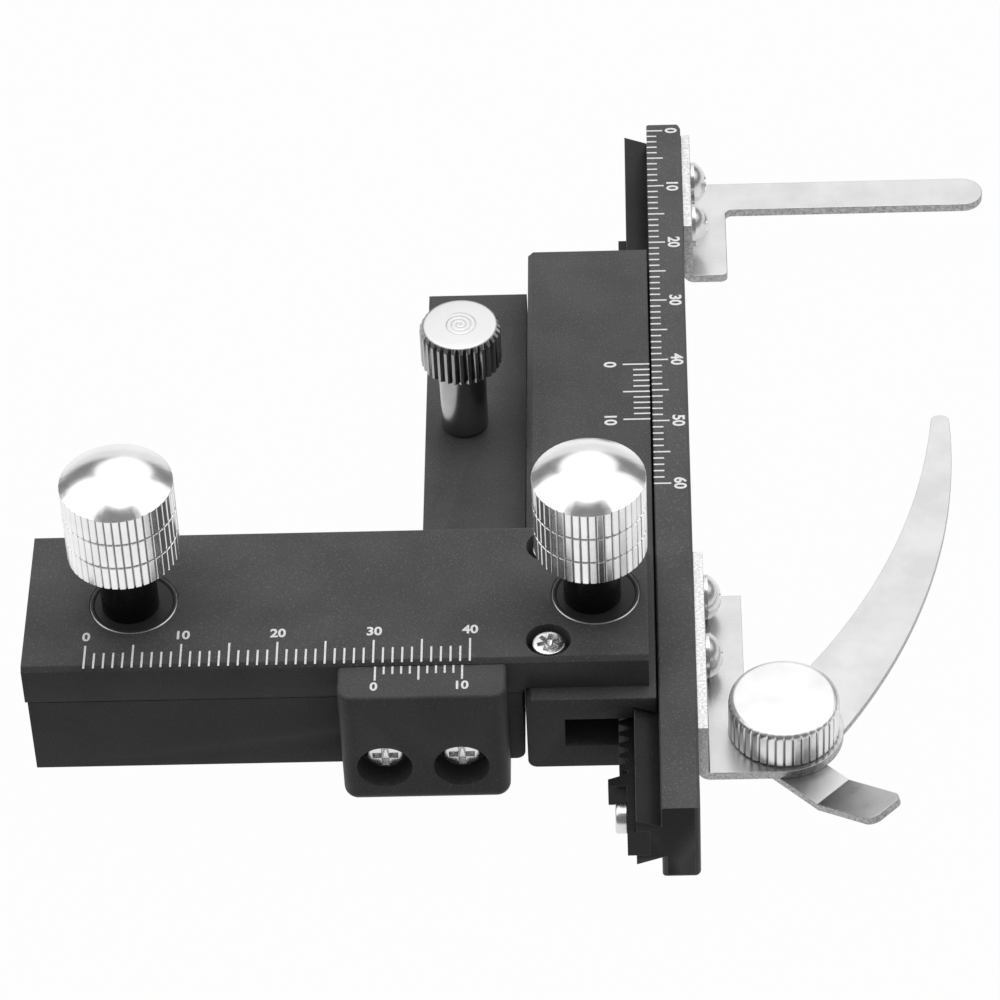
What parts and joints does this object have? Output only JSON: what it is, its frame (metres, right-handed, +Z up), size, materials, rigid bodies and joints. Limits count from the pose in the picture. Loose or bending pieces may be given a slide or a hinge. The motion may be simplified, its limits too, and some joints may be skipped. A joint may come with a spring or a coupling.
{
  "type": "mechanical microscope stage",
  "caption": "X-Y mechanical stage for a microscope table: dovetail slides driven by rack-and-pinion knobs, vernier scales, sprung specimen clip and clamp screw.",
  "frame": {"origin": "where the clamp screw's axis meets the microscope table, under the base", "axes": "+X along the 0 to 40 scale, towards the specimen clip; +Y to the rear, along the slide bar; +Z up, out of the microscope table"},
  "size_m": [0.1052, 0.1089, 0.0388],
  "materials": {
    "black_anodised": "satin black anodising over bead-blasted aluminium",
    "black_rack": "blackened steel",
    "black_steel": "oil-blackened steel",
    "plated_screw": "bright nickel plate",
    "plated_sheet": "nickel-plated sheet",
    "polished_steel": "polished and plated",
    "polished_aluminium": "polished",
    "spring_steel": "bright wire",
    "brass": "machined"
  },
  "bodies": {
    "base": {"base": "black_anodised", "vernier_block": "black_anodised", "vernier_block_screws": "plated_screw", "x_rack": "black_rack", "x_rack_screws": "plated_screw"},
    "clamp_screw": {"clamp_screw": "polished_steel"},
    "carriage": {"arm_beam": "black_anodised", "column_housing": "black_anodised", "beam_screws": "plated_screw", "x_bushing": "black_steel", "y_bushing": "black_steel"},
    "x_drive": {"x_knob": "polished_aluminium", "x_shaft": "black_steel", "x_pinion": "brass"},
    "slide_bar": {"slide_bar": "black_anodised", "y_rack": "black_rack", "y_rack_screws": "plated_screw", "finger_bracket": "plated_sheet", "finger_bracket_screws": "plated_screw", "clip_bracket": "plated_sheet", "clip_bracket_screws": "plated_screw", "clip_spring": "spring_steel"},
    "y_drive": {"y_knob": "polished_aluminium", "y_shaft": "black_steel", "y_pinion": "brass"},
    "clip": {"clip_horn": "plated_sheet", "clip_pivot": "polished_steel", "clip_cap": "polished_aluminium"}
  },
  "joints": [
    {"name": "x_travel", "type": "slide", "parent": "base", "child": "carriage", "axis": [1, 0, 0], "range_m": [0, 0.03]},
    {"name": "x_knob_turn", "type": "hinge", "parent": "carriage", "child": "x_drive", "pos_m": [-0.0342, -0.0377, 0.03], "axis": [0, 0, 1], "range_deg": [0, 627.5]},
    {"name": "y_travel", "type": "slide", "parent": "carriage", "child": "slide_bar", "axis": [0, 1, 0], "range_m": [-0.04, 0.008]},
    {"name": "y_knob_turn", "type": "hinge", "parent": "carriage", "child": "y_drive", "pos_m": [0.0142, -0.0377, 0.03], "axis": [0, 0, 1], "range_deg": [-836, 169]},
    {"name": "clip_swing", "type": "hinge", "parent": "slide_bar", "child": "clip", "pos_m": [0.0339, -0.0468, 0.002], "axis": [0, 0, 1], "range_deg": [-50, 10], "stiffness_Nm_per_rad": 0.02},
    {"name": "clamp_turn", "type": "hinge", "parent": "base", "child": "clamp_screw", "pos_m": [0, 0, 0], "axis": [0, 0, 1], "continuous": true}
  ],
  "couplings": [
    {"joint": "x_knob_turn", "follows": "x_travel", "rad_per_m": 363.64},
    {"joint": "y_knob_turn", "follows": "y_travel", "rad_per_m": 363.64}
  ]
}
